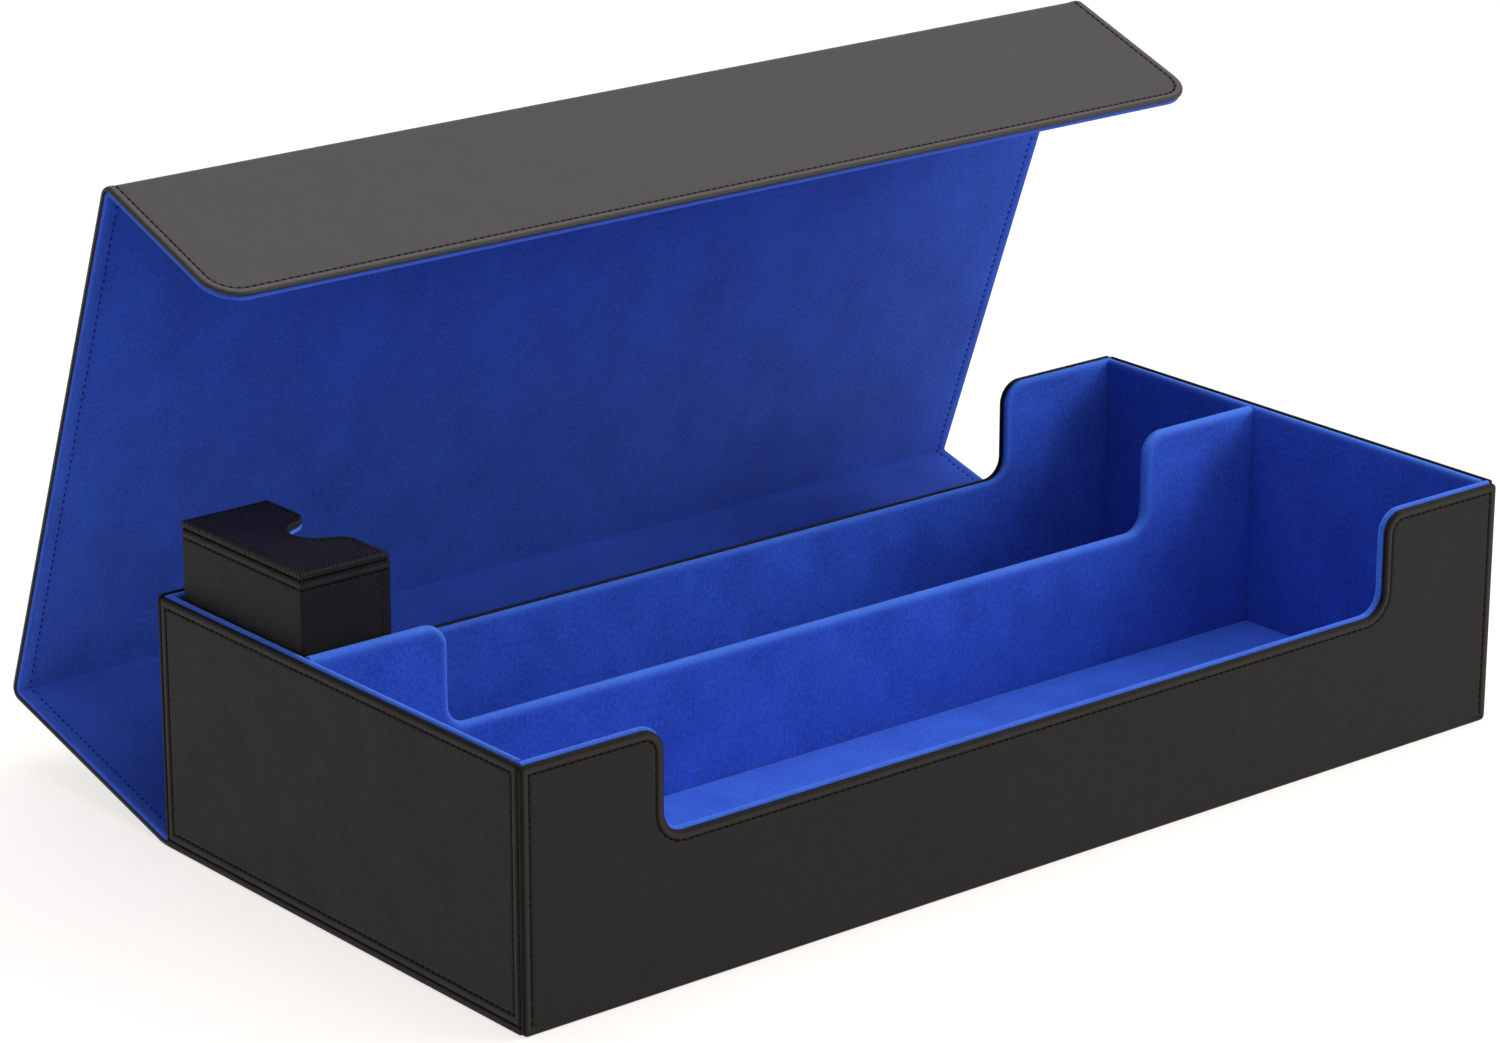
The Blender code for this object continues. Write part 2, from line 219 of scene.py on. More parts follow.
def profile_rings(corners, profile):
    """For each row, (point, height, rim) all round the outline. All have as many points.

    Along a cut edge the upper rows run up the section to the last row, so that its end is flat.
    """
    arcs = [corner_arcs(corners, moved_in(row.inset)) for row in profile]
    at_edge = corner_arcs(corners, moved_in(0.0))
    shares = corner_shares(corners, at_edge)
    rings = []
    for k, row in enumerate(profile):
        places = []
        for i, corner in enumerate(corners):
            following = (i + 1) % len(corners)
            ahead = []
            if corner.edge == "cut":
                upper = row.height > profile[-1].height / 2
                ahead = [max(k, j) if upper else k for j in range(len(profile))]
            last = ahead[-1] if ahead else k
            start, end = arcs[last][i][-1], arcs[last][following][0]
            length = (at_edge[following][0] - at_edge[i][-1]).length
            steps = max(1, round(length / STEP))
            places += [(k, point, share) for point, share in zip(arcs[k][i], shares[i])]
            places += [(j, arcs[j][i][-1], shares[i][-1]) for j in ahead]
            places += [(last, start.lerp(end, n / steps), SHARE[corner.edge]) for n in range(1, steps)]
            places += [(j, arcs[j][following][0], shares[following][0]) for j in ahead[::-1]]
        ring = []
        for j, point, share in places:
            ring.append((point, profile[j].height + profile[j].relief * share, profile[j].rim * share))
        rings.append(ring)
    return rings


def stitch_runs(corners, inset):
    """Open or closed lines of points along the sewn edges, set in from them."""
    arcs = corner_arcs(corners, dict(moved_in(inset), plain=PLAIN_STITCH_INSET))
    count = len(corners)
    sewn = [corner.edge == "sewn" for corner in corners]
    if all(sewn):
        closed = [point for arc in arcs for point in arc]
        return [closed + [closed[0]]]
    runs = []
    for start in range(count):
        if not sewn[start] or sewn[start - 1]:
            continue
        run = [arcs[start][-1]]
        i = start
        while sewn[i % count]:
            following = arcs[(i + 1) % count]
            run += following if sewn[(i + 1) % count] else following[:1]
            i += 1
        runs.append(run)
    return runs


def notched_corners(half, bottom, top, notch, kinds, corner=0.0):
    """A wall with a low stretch. kinds names the foot's, the sides' and the top's edges."""
    reach = notch["half"]
    foot, sides, rim = kinds
    return [
        Corner(-half, bottom, corner, foot),
        Corner(half, bottom, corner, sides),
        Corner(half, top, corner, rim),
        Corner(reach, top, notch["shoulder"], rim),
        Corner(reach, notch["floor"], notch["foot"], rim),
        Corner(-reach, notch["floor"], notch["foot"], rim),
        Corner(-reach, top, notch["shoulder"], rim),
        Corner(-half, top, corner, sides),
    ]


def box_corners(left, bottom, right, top, radius, edges):
    """A rectangle. edges names its bottom, right, top and left edges' kinds."""
    places = ((left, bottom), (right, bottom), (right, top), (left, top))
    return [Corner(u, v, radius, edge) for (u, v), edge in zip(places, edges)]


# ---------------------------------------------------------------- profiles


def round_edge(thickness, back, front, relief=(), steps=5, rim=1.0):
    """Rows from the back face, round the edge, to the front face."""
    # rim sets the painted light on the rounded edge: a painted highlight above 0 (on leather partly wear) and
    # painted shade below 0. On the front rounding a highlight fades inwards.
    rows = [Row(back + 0.5 * MM, 0.0, 0.0, 0.0)]
    for k in range(steps + 1):
        angle = math.radians(90) * k / steps
        inset, height = back * (1 - math.sin(angle)), back * (1 - math.cos(angle))
        rows.append(Row(inset, height, 0.0, 0.4 * rim))
    for k in range(steps + 1):
        angle = math.radians(90) * k / steps
        inset = front * (1 - math.cos(angle))
        height = thickness - front * (1 - math.sin(angle))
        fade = 1 - 0.6 * k / steps if rim > 0 else 1
        rows.append(Row(inset, height, 0.0, rim * fade))
    rows += [Row(inset * MM, thickness, rise * MM, value) for inset, rise, value in relief]
    if not relief:
        rows.append(Row(front + 0.5 * MM, thickness, 0.0, 0.25 * rim))
        rows.append(Row(front + 2.0 * MM, thickness, 0.0, 0.0))
    return rows


# In mm: how far in, how high, and how much painted highlight the edge takes, with wear on leather (or, below
# 0, how much painted shade)
LEATHER_RELIEF = (
    (1.0, 0.08, -0.2),
    (1.4, 0.18, 0.7),
    (2.0, 0.22, 1.0),
    (2.6, 0.18, 0.8),
    (3.1, 0.02, 0.1),
    (3.4, -0.26, -0.6),
    (3.8, -0.26, -0.6),
    (4.2, -0.04, 0.0),
    (5.0, 0.03, 0.0),
    (6.2, 0.0, 0.0),
    (7.0, 0.0, 0.0),
)
SUEDE_RELIEF = (
    (1.6, 0.03, 0.5),
    (2.8, 0.04, 0.2),
    (4.0, 0.02, 0.0),
    (4.7, -0.12, 0.0),
    (5.3, -0.12, 0.0),
    (6.2, 0.0, 0.0),
    (7.4, 0.0, 0.0),
)


def sewn_edge(thickness):
    """A leather edge: painted shade where it turns, a ridge with painted highlight and wear, and the groove
    that stitches pull in, with painted shade in it.
    """
    return round_edge(thickness, 0.3 * MM, 0.8 * MM, LEATHER_RELIEF, 4, -0.4)


def sewn_suede_edge(thickness):
    """The cover's suede edge: a painted highlight on its rim that fades, and the line that its stitches pull
    in.
    """
    return round_edge(thickness, 0.2 * MM, 0.9 * MM, SUEDE_RELIEF, 4)


# ---------------------------------------------------------------- meshes


def loft(name, rings, coordinates, rims, material):
    """A closed skin over rings of points, capped at both ends, with its UV map in mm."""
    shape = bmesh.new()
    # rim: how much painted edge highlight (above 0) or painted shade (below 0) each point takes
    rim_layer = shape.verts.layers.float.new("rim")
    chart = shape.loops.layers.uv.new("UVMap")
    where = {}
    grid = []
    for ring, spots, rim in zip(rings, coordinates, rims):
        row = []
        for point, spot, value in zip(ring, spots, rim):
            vert = shape.verts.new(point)
            vert[rim_layer] = value
            where[vert] = spot
            row.append(vert)
        grid.append(row)
    count = len(grid[0])
    for lower, upper in zip(grid, grid[1:]):
        for i in range(count):
            j = (i + 1) % count
            shape.faces.new((lower[i], lower[j], upper[j], upper[i]))
    shape.faces.new(list(reversed(grid[0])))
    shape.faces.new(grid[-1])
    bmesh.ops.recalc_face_normals(shape, faces=shape.faces)
    for face in shape.faces:
        for loop in face.loops:
            u, v = where[loop.vert]
            loop[chart].uv = (u / MM, v / MM)
    bmesh.ops.remove_doubles(shape, verts=shape.verts, dist=MERGE_DISTANCE)
    return finish_mesh(name, shape, material)


def finish_mesh(name, shape, material):
    mesh = bpy.data.meshes.new(name)
    shape.to_mesh(mesh)
    shape.free()
    mesh.shade_smooth()
    mesh.set_sharp_from_angle(angle=SHARP_ANGLE)
    mesh.materials.append(material)
    piece = bpy.data.objects.new(name, mesh)
    bpy.context.scene.collection.objects.link(piece)
    return piece


class Sheet:
    """A flat place for a board: u and v run in its plane, and h stands off its back face."""

    def __init__(self, origin, along, up):
        self.origin = Vector(origin)
        self.along = Vector(along).normalized()
        self.up = Vector(up).normalized()
        self.out = self.along.cross(self.up)

    def point(self, u, v, h):
        return self.origin + self.along * u + self.up * v + self.out * h


class Fold:
    """A hinge line between two panels. Stations run over it; + is on the later panel."""

    def __init__(self, hinge, before, after):
        self.hinge, self.before, self.after = Vector(hinge), before, after
        self.bend = math.atan2(before.cross(after).x, before.dot(after))

    def line(self, direction, station, h):
        return self.hinge + direction * station + X.cross(direction) * h

    def point(self, station, x, h):
        """The place at this station, x along the hinge and h inside the panels' middle."""
        if station <= -CURVE:
            return self.line(self.before, station, h) + X * x
        if station >= CURVE:
            return self.line(self.after, station, h) + X * x
        start = self.line(self.before, -CURVE, h)
        end = self.line(self.after, CURVE, h)
        reach = CURVE - h * math.tan(self.bend / 2)
        handle = reach * 4 / 3 * math.tan(self.bend / 4) / math.tan(self.bend / 2)
        t = (station + CURVE) / (2 * CURVE)
        near, far = start + self.before * handle, end - self.after * handle
        curve = start * (1 - t) ** 3 + near * (3 * t * (1 - t) ** 2)
        curve += far * (3 * t * t * (1 - t)) + end * t**3
        return curve + X * x

    def stations(self, first, last):
        """Even steps over the curve and a few along the straight parts."""
        inner = [CURVE * (k / 8 - 1) for k in range(17)]
        outer = [first + (last - first) * k / 12 for k in range(13)]
        kept = [s for s in outer if abs(s) > CURVE + 0.4 * MM]
        kept += [s for s in inner if first + 0.1 * MM < s < last - 0.1 * MM]
        return sorted(set(kept) | {first, last})


def board(name, corners, profile, sheet, material):
    """A board in its sheet, with the profile run round its outline."""
    rings, coordinates, rims = [], [], []
    for ring in profile_rings(corners, profile):
        rings.append([sheet.point(p.x, p.y, h) for p, h, _ in ring])
        coordinates.append([(p.x, p.y) for p, _, _ in ring])
        rims.append([rim for _, _, rim in ring])
    return loft(name, rings, coordinates, rims, material)


def strip(name, fold, first, last, profile, half, base, toward, material):
    """A sheet over a fold, with the profile along both of its side edges.

    Its heights run from base, inwards if toward is 1 and outwards if it is -1.
    """
    rings, coordinates, rims = [], [], []
    for station in fold.stations(first, last):
        left, right = [], []
        for row in profile:
            h = base + toward * (row.height + row.relief)
            left.append((fold.point(station, -half + row.inset, h), -half + row.inset, row.rim))
            right.append((fold.point(station, half - row.inset, h), half - row.inset, row.rim))
        section = left + right[::-1]
        rings.append([point for point, _, _ in section])
        coordinates.append([(x, station) for _, x, _ in section])
        rims.append([rim for _, _, rim in section])
    return loft(name, rings, coordinates, rims, material)


# ---------------------------------------------------------------- stitches

# How far along a stitch each ring is, how high it stands, and how thick it is
STITCH_RINGS = ((0.0, -0.9, 0.45), (0.14, -0.1, 0.9), (0.5, 0.25, 1.0), (0.86, -0.1, 0.9), (1.0, -0.9, 0.45))
THREAD_SIDES = 6


def walk(points, pitch):
    """Even places along a line of 3D points, as (point, tangent) pairs."""
    lengths = [(b - a).length for a, b in zip(points, points[1:])]
    total = sum(lengths)
    count = max(1, int(total / pitch))
    margin = (total - (count - 1) * pitch) / 2
    places = []
    i, passed = 0, 0.0
    for k in range(count):
        target = margin + k * pitch
        while i < len(lengths) - 1 and passed + lengths[i] < target:
            passed += lengths[i]
            i += 1
        tangent = (points[i + 1] - points[i]).normalized()
        places.append((points[i] + tangent * (target - passed), tangent))
    return places


def sew(shape, points, out):
    """Adds a row of stitches along 3D points. out(tangent, place) is the way out of the sheet."""
    for place, tangent in walk(points, STITCH_PITCH):
        normal = out(tangent, place)
        side = tangent.cross(normal)
        rings = []
        for along, rise, scale in STITCH_RINGS:
            centre = place + tangent * ((along - 0.5) * STITCH_LENGTH)
            centre += normal * (rise * THREAD_RADIUS)
            ring = []
            for k in range(THREAD_SIDES):
                angle = 2 * math.pi * k / THREAD_SIDES
                across = side * math.cos(angle) + normal * (0.8 * math.sin(angle))
                ring.append(shape.verts.new(centre + across * (THREAD_RADIUS * scale)))
            rings.append(ring)
        for lower, upper in zip(rings, rings[1:]):
            for k in range(THREAD_SIDES):
                j = (k + 1) % THREAD_SIDES
                shape.faces.new((lower[k], lower[j], upper[j], upper[k]))
        shape.faces.new(rings[0][::-1])
        shape.faces.new(rings[-1])


class Seam:
    """Rows of stitches gathered into one piece."""

    def __init__(self, name, material):
        self.name, self.material = name, material
        self.shape = bmesh.new()

    def on_board(self, corners, sheet, height, inset):
        for run in stitch_runs(corners, inset):
            points = [sheet.point(p.x, p.y, height) for p in run]
            sew(self.shape, points, lambda tangent, place: sheet.out)

    def on_fold(self, fold, first, last, x, h, toward):
        points = [fold.point(station, x, h) for station in fold.stations(first, last)]
        sew(self.shape, points, lambda tangent, place: X.cross(tangent) * toward)

    def piece(self):
        bmesh.ops.recalc_face_normals(self.shape, faces=self.shape.faces)
        return finish_mesh(self.name, self.shape, self.material)


# ---------------------------------------------------------------- materials


class Nodes:
    """A material's node tree, with short calls for the nodes that the finishes share."""

    def __init__(self, name):
        self.material = bpy.data.materials.new(name)
        self.material.use_nodes = True
        self.tree = self.material.node_tree
        self.shader = self.tree.nodes["Principled BSDF"]
        self.chart = self.tree.nodes.new("ShaderNodeTexCoord").outputs["UV"]

    def link(self, source, target):
        self.tree.links.new(source, target)

    def mapped(self, scale, angle=0.0):
        node = self.tree.nodes.new("ShaderNodeMapping")
        node.inputs["Scale"].default_value = scale
        node.inputs["Rotation"].default_value = (0, 0, math.radians(angle))
        self.link(self.chart, node.inputs["Vector"])
        return node.outputs["Vector"]

    def noise(self, vector, scale, detail=3.0, roughness=0.55):
        node = self.tree.nodes.new("ShaderNodeTexNoise")
        node.inputs["Scale"].default_value = scale
        node.inputs["Detail"].default_value = detail
        node.inputs["Roughness"].default_value = roughness
        self.link(vector, node.inputs["Vector"])
        return node.outputs["Fac"]

    def ribs(self, vector, scale, distortion):
        node = self.tree.nodes.new("ShaderNodeTexWave")
        node.bands_direction = "X"
        node.inputs["Scale"].default_value = scale
        node.inputs["Distortion"].default_value = distortion
        node.inputs["Detail"].default_value = 2.0
        node.inputs["Detail Scale"].default_value = 1.4
        self.link(vector, node.inputs["Vector"])
        return node.outputs["Fac"]

    def math(self, operation, first, second):
        node = self.tree.nodes.new("ShaderNodeMath")
        node.operation = operation
        for value, socket in zip((first, second), node.inputs):
            if isinstance(value, (int, float)):
                socket.default_value = value
            else:
                self.link(value, socket)
        return node.outputs[0]

    def ramp(self, value, low, high, from_low=0.0, from_high=1.0):
        node = self.tree.nodes.new("ShaderNodeMapRange")
        node.inputs["From Min"].default_value = from_low
        node.inputs["From Max"].default_value = from_high
        node.inputs["To Min"].default_value = low
        node.inputs["To Max"].default_value = high
        self.link(value, node.inputs["Value"])
        return node.outputs["Result"]

    def mix(self, share, first, second):
        node = self.tree.nodes.new("ShaderNodeMix")
        node.data_type = "RGBA"
        self.link(share, node.inputs["Factor"])
        for value, socket in ((first, node.inputs["A"]), (second, node.inputs["B"])):
            if isinstance(value, tuple):
                socket.default_value = (*value, 1.0)
            else:
                self.link(value, socket)
        return node.outputs["Result"]

    # The rim attribute: painted edge highlight above 0, painted shade below 0
    def rim(self):
        node = self.tree.nodes.new("ShaderNodeAttribute")
        node.attribute_name = "rim"
        return node.outputs["Fac"]

    def bump(self, height, depth, below=None):
        node = self.tree.nodes.new("ShaderNodeBump")
        node.inputs["Distance"].default_value = depth
        self.link(height, node.inputs["Height"])
        if below:
            self.link(below, node.inputs["Normal"])
        return node.outputs["Normal"]


def leather(name, dark, light, rib_depth, shine):
    """Near-black leather: diagonal ribs, fine grain, brown on its ridges as painted highlight with wear, and
    black in its folds as painted shade.
    """
    nodes = Nodes(name)
    flat = nodes.mapped((1, 1, 1))
    ribs = nodes.ribs(nodes.mapped((1, 1, 1), 38), 0.30, 2.2)
    grain = nodes.noise(flat, 1.7, 4.0, 0.6)
    patches = nodes.noise(flat, 0.035, 3.0, 0.6)
    tone = nodes.math("ADD", nodes.math("MULTIPLY", ribs, 0.35), nodes.math("MULTIPLY", patches, 0.75))
    body = nodes.mix(tone, dark, light)
    # Painted highlight with some wear: where the rim attribute is above 0, the ridges take a lighter, browner
    # colour, broken up by the grain.
    ridge_highlight_and_wear = (light[0] * 2.1, light[1] * 1.8, light[2] * 1.4)
    edge = nodes.math("MULTIPLY", nodes.rim(), nodes.ramp(grain, 0.35, 0.85, 0.3, 0.7))
    body = nodes.mix(nodes.ramp(edge, 0.0, 1.0), body, ridge_highlight_and_wear)
    # Painted shade: where the rim attribute is below 0, the colour goes toward near black and the reflection
    # is dimmed, at turned edges and in stitch grooves.
    shade = nodes.ramp(nodes.rim(), 1.0, 0.0, -1.0, 0.0)
    nodes.link(nodes.mix(shade, body, (0.002, 0.002, 0.002)), nodes.shader.inputs["Base Color"])
    worked = nodes.math("ADD", nodes.math("MULTIPLY", grain, 0.6), nodes.math("MULTIPLY", patches, 0.4))
    nodes.link(nodes.ramp(worked, 0.44, 0.62, 0.35, 0.65), nodes.shader.inputs["Roughness"])
    nodes.link(nodes.ramp(shade, shine, 0.02), nodes.shader.inputs["Specular IOR Level"])
    normal = nodes.bump(patches, 0.9 * MM)
    normal = nodes.bump(grain, 0.10 * MM, normal)
    normal = nodes.bump(ribs, rib_depth, normal)
    nodes.link(normal, nodes.shader.inputs["Normal"])
    return nodes.material


def suede(name, dark, light, rim):
    """Blue microsuede: patches of brushed nap, short fibres, and a painted highlight on its rim."""
    nodes = Nodes(name)
    brushed = nodes.mapped((0.8, 0.6, 1), 4)
    flat = nodes.mapped((1, 1, 1))
    patches = nodes.noise(brushed, 0.045, 5.0, 0.62)
    nap = nodes.noise(brushed, 0.9, 5.0, 0.7)
    fibres = nodes.noise(flat, 3.2, 3.0, 0.7)
    tone = nodes.math("ADD", nodes.math("MULTIPLY", patches, 0.22), nodes.math("MULTIPLY", nap, 0.38))
    tone = nodes.math("ADD", tone, nodes.math("MULTIPLY", fibres, 0.40))
    tone = nodes.ramp(tone, 0.0, 1.0, 0.40, 0.60)
    body = nodes.mix(tone, dark, light)
    # Painted highlight: where the rim attribute is above 0, the colour goes toward the rim colour, broken up
    # by the fibres.
    edge = nodes.math("MULTIPLY", nodes.rim(), nodes.ramp(fibres, 0.45, 0.95, 0.35, 0.65))
    nodes.link(nodes.mix(edge, body, rim), nodes.shader.inputs["Base Color"])
    nodes.shader.inputs["Roughness"].default_value = 0.9
    nodes.shader.inputs["Specular IOR Level"].default_value = 0.08
    nodes.shader.inputs["Sheen Weight"].default_value = 0.55
    nodes.shader.inputs["Sheen Roughness"].default_value = 0.4
    nodes.shader.inputs["Sheen Tint"].default_value = (0.30, 0.45, 1.0, 1.0)
    normal = nodes.bump(nap, 0.2 * MM)
    normal = nodes.bump(fibres, 0.2 * MM, normal)
    nodes.link(normal, nodes.shader.inputs["Normal"])
    return nodes.material


def thread(name, colour):
    """Twisted sewing thread."""
    nodes = Nodes(name)
    place = nodes.tree.nodes.new("ShaderNodeTexCoord").outputs["Object"]
    twist = nodes.noise(place, 2600.0, 1.0)
    nodes.link(nodes.mix(twist, colour, tuple(2.2 * c for c in colour)), nodes.shader.inputs["Base Color"])
    nodes.shader.inputs["Roughness"].default_value = 0.7
    nodes.shader.inputs["Specular IOR Level"].default_value = 0.08
    nodes.link(nodes.bump(twist, 0.06 * MM), nodes.shader.inputs["Normal"])
    return nodes.material


def hidden_board(name):
    """Grey-brown paperboard."""
    nodes = Nodes(name)
    place = nodes.tree.nodes.new("ShaderNodeTexCoord").outputs["Object"]
    pulp = nodes.noise(place, 420.0, 5.0, 0.7)
    nodes.link(nodes.mix(pulp, (0.17, 0.14, 0.10), (0.31, 0.27, 0.21)), nodes.shader.inputs["Base Color"])
    nodes.shader.inputs["Roughness"].default_value = 0.88
    nodes.link(nodes.bump(pulp, 0.1 * MM), nodes.shader.inputs["Normal"])
    return nodes.material


def plated_steel(name):
    """The magnets' plating, faintly scuffed."""
    nodes = Nodes(name)
    place = nodes.tree.nodes.new("ShaderNodeTexCoord").outputs["Object"]
    scuffs = nodes.noise(place, 900.0, 4.0, 0.6)
    nodes.link(nodes.mix(scuffs, (0.46, 0.46, 0.48), (0.66, 0.66, 0.67)), nodes.shader.inputs["Base Color"])
    nodes.link(nodes.ramp(scuffs, 0.2, 0.42), nodes.shader.inputs["Roughness"])
    nodes.shader.inputs["Metallic"].default_value = 1.0
    return nodes.material


# One leather in two copies: the cover's is lighter and shinier, painted light for its lit faces, and the
# tray's is darker, painted shade for its walls.
SHADED_LEATHER_TRAY = leather("leather_tray", (0.006, 0.0058, 0.0058), (0.014, 0.0134, 0.0132), 0.06 * MM, 0.12)
LIT_LEATHER_COVER = leather("leather_cover", (0.017, 0.0155, 0.0165), (0.034, 0.0312, 0.0325), 0.04 * MM, 0.42)
LEATHER_MINI = leather("leather_mini", (0.0015, 0.0015, 0.0015), (0.014, 0.0135, 0.0135), 0.30 * MM, 0.14)
# One suede in lit and shaded copies: the pads' is lighter, painted light on their upward faces, and the
# cover's is darker, painted shade. Each third colour is the painted highlight on its rims, brightest on the
# small box's.
SUEDE_TRAY = suede("suede_tray", (0.010, 0.038, 0.31), (0.032, 0.108, 0.66), (0.07, 0.20, 0.76))
SHADED_SUEDE_COVER = suede("suede_cover", (0.008, 0.029, 0.245), (0.022, 0.078, 0.51), (0.036, 0.11, 0.56))
SUEDE_MINI = suede("suede_mini", (0.010, 0.038, 0.31), (0.032, 0.108, 0.66), (0.10, 0.24, 0.84))
LIT_SUEDE_PAD = suede("suede_pad", (0.014, 0.062, 0.44), (0.040, 0.150, 0.86), (0.06, 0.19, 0.80))
BLACK_THREAD = thread("black_thread", (0.0015, 0.0015, 0.0015))
BLUE_THREAD = thread("blue_thread", (0.003, 0.010, 0.11))


# ---------------------------------------------------------------- tray


def tray_sheet(node, facing):
    """The sheet on a wall's or liner's back face, and its half length, height and thickness."""
    low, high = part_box(node)
    middle = (low + high) / 2
    size = high - low
    if abs(facing.y) > 0.5:
        back = low.y if facing.y > 0 else high.y
        return Sheet((0, back, 0), Z.cross(facing), Z), size.x / 2, low.z, high.z, size.y
    back = low.x if facing.x > 0 else high.x
    return Sheet((back, middle.y, 0), Z.cross(facing), Z), size.y / 2, low.z, high.z, size.x


def settle(piece, body, slot, *nodes):
    """The piece rides on its body and stands for the CAD nodes. Its slot is not used."""
    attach(piece, body)
    if nodes:
        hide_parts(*nodes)


def leather_notch(drop):
    return dict(
        half=NOTCH["half"] + drop,
        floor=NOTCH["floor"] - drop,
        shoulder=NOTCH["shoulder"] - drop,
        foot=NOTCH["foot"] + drop,
    )


def add_tray_leather(seam):
    for node, facing in (("front_wall", -Y), ("rear_wall", Y)):
        sheet, half, bottom, _, thickness = tray_sheet(node, facing)
        top, notch = RIM_LEVEL - EDGE_DROP[node], leather_notch(EDGE_DROP[node])
        corners = notched_corners(half, bottom, top, notch, ("plain", "sewn", "sewn"), LONG_WALL_CORNER)
        piece = board(node + "_leather", corners, sewn_edge(thickness), sheet, SHADED_LEATHER_TRAY)
        settle(piece, "tray", "leather_tray", node)
        seam.on_board(corners, sheet, thickness - STITCH_SINK, STITCH_INSET)
    for node, facing in (("left_wall", -X), ("right_wall", X)):
        sheet, half, bottom, _, thickness = tray_sheet(node, facing)
        top = RIM_LEVEL - EDGE_DROP[node]
        corners = box_corners(-half, bottom, half, top, END_WALL_CORNER, ["sewn"] * 4)
        piece = board(node + "_leather", corners, sewn_edge(thickness), sheet, SHADED_LEATHER_TRAY)
        settle(piece, "tray", "leather_tray", node)
        seam.on_board(corners, sheet, thickness - STITCH_SINK, STITCH_INSET)
    low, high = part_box("base_panel")
    middle = (low + high) / 2
    sheet = Sheet((middle.x, middle.y, high.z), X, -Y)
    half = (high - low) / 2
    corners = box_corners(-half.x, -half.y, half.x, half.y, BASE_CORNER, ["plain"] * 4)
    profile = round_edge(high.z - low.z, 0.6 * MM, 1.0 * MM)
    settle(board("base_leather", corners, profile, sheet, SHADED_LEATHER_TRAY), "tray", "leather_tray", "base_panel")


def add_tray_suede():
    for node, facing in (("front_liner", Y), ("rear_liner", -Y)):
        sheet, half, bottom, top, thickness = tray_sheet(node, facing)
        corners = notched_corners(half, bottom, top, NOTCH, ("cut", "cut", "rolled"))
        profile = round_edge(thickness, 1.3 * MM, 1.5 * MM)
        settle(board(node + "_suede", corners, profile, sheet, SUEDE_TRAY), "tray", "suede_tray", node)
    for node, facing in (("left_liner", X), ("right_liner", -X)):
        sheet, half, bottom, top, thickness = tray_sheet(node, facing)
        corners = box_corners(-half, bottom, half, top, 0.0, ["cut", "cut", "rolled", "cut"])
        profile = round_edge(thickness, 1.3 * MM, 1.5 * MM)
        settle(board(node + "_suede", corners, profile, sheet, SUEDE_TRAY), "tray", "suede_tray", node)
    sheet, half, bottom, top, thickness = tray_sheet("row_divider", -Y)
    notch = dict(NOTCH, half=DIVIDER_NOTCH_HALF)
    corners = notched_corners(half, bottom, top, notch, ("cut", "cut", "rolled"))
    profile = round_edge(thickness, 2.3 * MM, 2.3 * MM, steps=6)
    settle(board("divider_suede", corners, profile, sheet, SUEDE_TRAY), "tray", "suede_tray", "row_divider")
    for node in ("front_row_pad", "rear_row_pad"):
        low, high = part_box(node)
        half = (high - low) / 2
        sheet = Sheet(((low.x + high.x) / 2, (low.y + high.y) / 2, low.z), X, Y)
        corners = box_corners(-half.x, -half.y, half.x, half.y, PAD_CORNER, ["plain"] * 4)
        profile = round_edge(high.z - low.z, 0.3 * MM, 1.0 * MM)
        settle(board(node + "_suede", corners, profile, sheet, LIT_SUEDE_PAD), "tray", "suede_tray", node)


# ---------------------------------------------------------------- cover


def joint_place(name):
    for joint in frame["joints"]:
        if joint["name"] == name:
            return Vector(joint["pos_m"])
    raise ValueError(name)


HALF = (cad_high.x - cad_low.x) / 2
BASE_LINE = joint_place("base_hinge_fold")
BACK_LINE = joint_place("back_hinge_fold")
FLAP_LINE = joint_place("flap_flare")
BACK_WAY = (BACK_LINE - BASE_LINE).normalized()
TOP_WAY = (FLAP_LINE - BACK_LINE).normalized()
FLAP_WAY = Matrix.Rotation(FLAP_BEND, 3, "X") @ TOP_WAY
BASE_FOLD = Fold(BASE_LINE, Y, BACK_WAY)
BACK_FOLD = Fold(BACK_LINE, BACK_WAY, TOP_WAY)
FLAP_FOLD = Fold(FLAP_LINE, TOP_WAY, FLAP_WAY)


def panel_sheets(hinge, way):
    """The panel's leather sheet, facing out, and its suede sheet, facing in."""
    inside = X.cross(way)
    return Sheet(hinge + inside * LEATHER_HIGH, -X, way), Sheet(hinge + inside * SUEDE_LOW, X, way)


def panel_corners(half, start, end, corner, last_edge):
    return [
        Corner(-half, start, 0.0, "cut"),
        Corner(half, start, 0.0, "sewn"),
        Corner(half, end, corner, last_edge),
        Corner(-half, end, corner, "sewn"),
    ]


def add_panel(body, hinge, way, start, end, inset_end, corner, last_edge, nodes):
    """One of the cover's three panels, in leather outside and suede inside."""
    outer, inner = panel_sheets(hinge, way)
    leather_thick, suede_thick = LEATHER_HIGH - LEATHER_LOW, SUEDE_HIGH - SUEDE_LOW
    corners = panel_corners(HALF, start, end, corner, last_edge)
    piece = board(body + "_leather", corners, sewn_edge(leather_thick), outer, LIT_LEATHER_COVER)
    settle(piece, body, "leather_cover", nodes[0])
    seam = Seam(body + "_stitches", BLACK_THREAD)
    seam.on_board(corners, outer, leather_thick - STITCH_SINK, STITCH_INSET)
    settle(seam.piece(), body, "leather_cover")
    radius = max(corner - SUEDE_INSET, 0)
    corners = panel_corners(HALF - SUEDE_INSET, start, end - inset_end, radius, last_edge)
    piece = board(body + "_suede", corners, sewn_suede_edge(suede_thick), inner, SHADED_SUEDE_COVER)
    settle(piece, body, "suede_cover", nodes[1])
    seam = Seam(body + "_suede_stitches", BLUE_THREAD)
    seam.on_board(corners, inner, suede_thick - STITCH_SINK, SUEDE_STITCH_INSET)
    settle(seam.piece(), body, "suede_cover")


